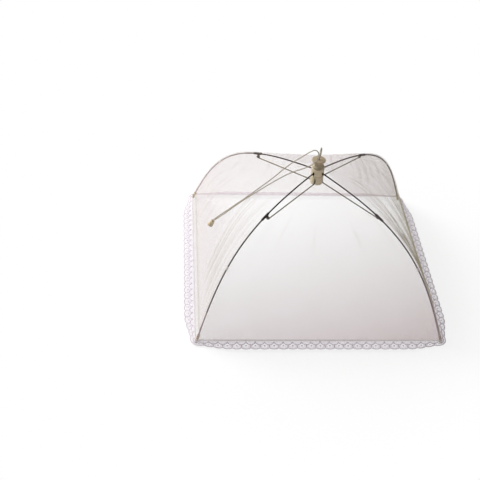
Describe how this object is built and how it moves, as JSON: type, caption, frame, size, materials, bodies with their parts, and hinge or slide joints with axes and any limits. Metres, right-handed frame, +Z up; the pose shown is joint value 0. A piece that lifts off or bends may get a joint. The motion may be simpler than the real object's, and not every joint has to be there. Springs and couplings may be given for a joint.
{
  "type": "pop-up food cover",
  "caption": "Pop-up square food cover: a net tent edged with lace on bowed spring-wire ribs that fold like an umbrella, set by stretchers and a runner on a pull cord.",
  "frame": {"origin": "middle of the square base, on the table that the rib tips stand on", "axes": "+Z up through the hub, +X to the right and -Y to the front side; the ribs lie on the diagonals"},
  "size_m": [0.382, 0.382, 0.2159],
  "materials": {
    "white_plastic": "off-white injection-moulded nylon, lightly glossy",
    "spring_steel": "dark oil-browned spring wire",
    "bright_wire": "bright drawn wire",
    "clip_steel": "pressed steel strip, darkened",
    "net_cloth": "fine open polyester net",
    "lace_cloth": "machine-made lace edging",
    "cord_cotton": "braided cord and sewing thread"
  },
  "bodies": {
    "hub": {"spool_cap": "white_plastic", "rib_crown": "white_plastic", "rib_ring": "bright_wire", "net_front": "net_cloth", "hem_front": "net_cloth", "lace_front": "lace_cloth", "net_right": "net_cloth", "hem_right": "net_cloth", "lace_right": "lace_cloth", "net_back": "net_cloth", "hem_back": "net_cloth", "lace_back": "lace_cloth", "net_left": "net_cloth", "hem_left": "net_cloth", "lace_left": "lace_cloth", "pull_cord_a": "cord_cotton", "pull_cord_b": "cord_cotton"},
    "rib_front_right": {"rib_wire_front_right": "spring_steel", "rib_clip_front_right": "clip_steel", "rib_tip_front_right": "white_plastic", "thread_tie_front_right": "cord_cotton", "clip_rivet_front_right": "clip_steel"},
    "rib_back_right": {"rib_wire_back_right": "spring_steel", "rib_clip_back_right": "clip_steel", "rib_tip_back_right": "white_plastic", "thread_tie_back_right": "cord_cotton", "clip_rivet_back_right": "clip_steel"},
    "rib_back_left": {"rib_wire_back_left": "spring_steel", "rib_clip_back_left": "clip_steel", "rib_tip_back_left": "white_plastic", "thread_tie_back_left": "cord_cotton", "clip_rivet_back_left": "clip_steel"},
    "rib_front_left": {"rib_wire_front_left": "spring_steel", "rib_clip_front_left": "clip_steel", "rib_tip_front_left": "white_plastic", "thread_tie_front_left": "cord_cotton", "clip_rivet_front_left": "clip_steel"},
    "runner_block": {"runner": "white_plastic", "runner_ring": "bright_wire", "runner_knot": "cord_cotton", "inner_cord_a": "cord_cotton", "inner_cord_b": "cord_cotton"},
    "stretcher_arm_front_right": {"stretcher_front_right": "bright_wire", "eye_rivet_front_right": "clip_steel"},
    "stretcher_arm_back_right": {"stretcher_back_right": "bright_wire", "eye_rivet_back_right": "clip_steel"},
    "stretcher_arm_back_left": {"stretcher_back_left": "bright_wire", "eye_rivet_back_left": "clip_steel"},
    "stretcher_arm_front_left": {"stretcher_front_left": "bright_wire", "eye_rivet_front_left": "clip_steel"},
    "pull": {"pull_bell": "white_plastic", "bell_knot": "cord_cotton"}
  },
  "joints": [
    {"name": "rib_front_right_fold", "type": "hinge", "parent": "hub", "child": "rib_front_right", "pos_m": [0.00537, -0.00537, 0.1734], "axis": [0.7071, 0.7071, 0], "range_deg": [0, 50]},
    {"name": "rib_back_right_fold", "type": "hinge", "parent": "hub", "child": "rib_back_right", "pos_m": [0.00537, 0.00537, 0.1734], "axis": [-0.7071, 0.7071, 0], "range_deg": [0, 50.5]},
    {"name": "rib_back_left_fold", "type": "hinge", "parent": "hub", "child": "rib_back_left", "pos_m": [-0.00537, 0.00537, 0.1734], "axis": [-0.7071, -0.7071, 0], "range_deg": [0, 50.5]},
    {"name": "rib_front_left_fold", "type": "hinge", "parent": "hub", "child": "rib_front_left", "pos_m": [-0.00537, -0.00537, 0.1734], "axis": [0.7071, -0.7071, 0], "range_deg": [0, 50.5]},
    {"name": "runner_slide", "type": "slide", "parent": "hub", "child": "runner_block", "axis": [0, 0, -1], "range_m": [0, 0.1743]},
    {"name": "stretcher_front_right_swing", "type": "hinge", "parent": "runner_block", "child": "stretcher_arm_front_right", "pos_m": [0.00706, -0.00281, 0.1595], "axis": [-0.7071, -0.7071, 0], "range_deg": [0, 69.5]},
    {"name": "stretcher_back_right_swing", "type": "hinge", "parent": "runner_block", "child": "stretcher_arm_back_right", "pos_m": [0.00281, 0.00706, 0.1595], "axis": [0.7071, -0.7071, 0], "range_deg": [0, 69.5]},
    {"name": "stretcher_back_left_swing", "type": "hinge", "parent": "runner_block", "child": "stretcher_arm_back_left", "pos_m": [-0.00706, 0.00281, 0.1595], "axis": [0.7071, 0.7071, 0], "range_deg": [0, 69.5]},
    {"name": "stretcher_front_left_swing", "type": "hinge", "parent": "runner_block", "child": "stretcher_arm_front_left", "pos_m": [-0.00281, -0.00706, 0.1595], "axis": [-0.7071, 0.7071, 0], "range_deg": [0, 69.5]},
    {"name": "pull_draw", "type": "hinge", "parent": "hub", "child": "pull", "pos_m": [-0.033, 0, 0.082], "axis": [0, 1, 0], "range_deg": [0, 90.6]}
  ],
  "couplings": [
    {"joint": "rib_back_right_fold", "follows": "rib_front_right_fold", "ratio": 1},
    {"joint": "rib_back_left_fold", "follows": "rib_front_right_fold", "ratio": 1},
    {"joint": "rib_front_left_fold", "follows": "rib_front_right_fold", "ratio": 1},
    {"joint": "runner_slide", "follows": "rib_front_right_fold", "m_per_rad": 0.19857},
    {"joint": "stretcher_front_right_swing", "follows": "rib_front_right_fold", "ratio": 1.3782},
    {"joint": "stretcher_back_right_swing", "follows": "rib_front_right_fold", "ratio": 1.3782},
    {"joint": "stretcher_back_left_swing", "follows": "rib_front_right_fold", "ratio": 1.3782},
    {"joint": "stretcher_front_left_swing", "follows": "rib_front_right_fold", "ratio": 1.3782},
    {"joint": "pull_draw", "follows": "rib_front_right_fold", "ratio": 1.8}
  ]
}
